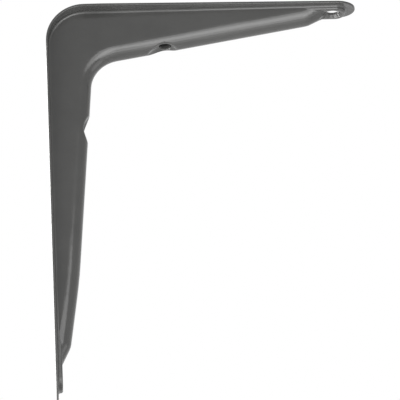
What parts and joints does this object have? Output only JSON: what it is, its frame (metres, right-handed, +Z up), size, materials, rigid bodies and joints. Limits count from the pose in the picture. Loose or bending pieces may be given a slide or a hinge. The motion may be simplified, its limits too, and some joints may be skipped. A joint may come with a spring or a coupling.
{
  "type": "shelf bracket",
  "caption": "Pressed sheet-steel shelf bracket, an L with a hollow half-round rib that tapers to a flat tab with a screw hole at each tip.",
  "frame": {"origin": "where the wall plane, the shelf plane and the bracket's plane of symmetry meet", "axes": "+X away from the wall along the shelf arm, +Z up, the wall arm runs down along -Z, Y across the bracket"},
  "size_m": [0.15, 0.0276, 0.2],
  "materials": {
    "grey_enamel": "semi-gloss grey stove enamel on sheet steel"
  },
  "bodies": {
    "root": {"bracket": "grey_enamel"}
  },
  "joints": []
}
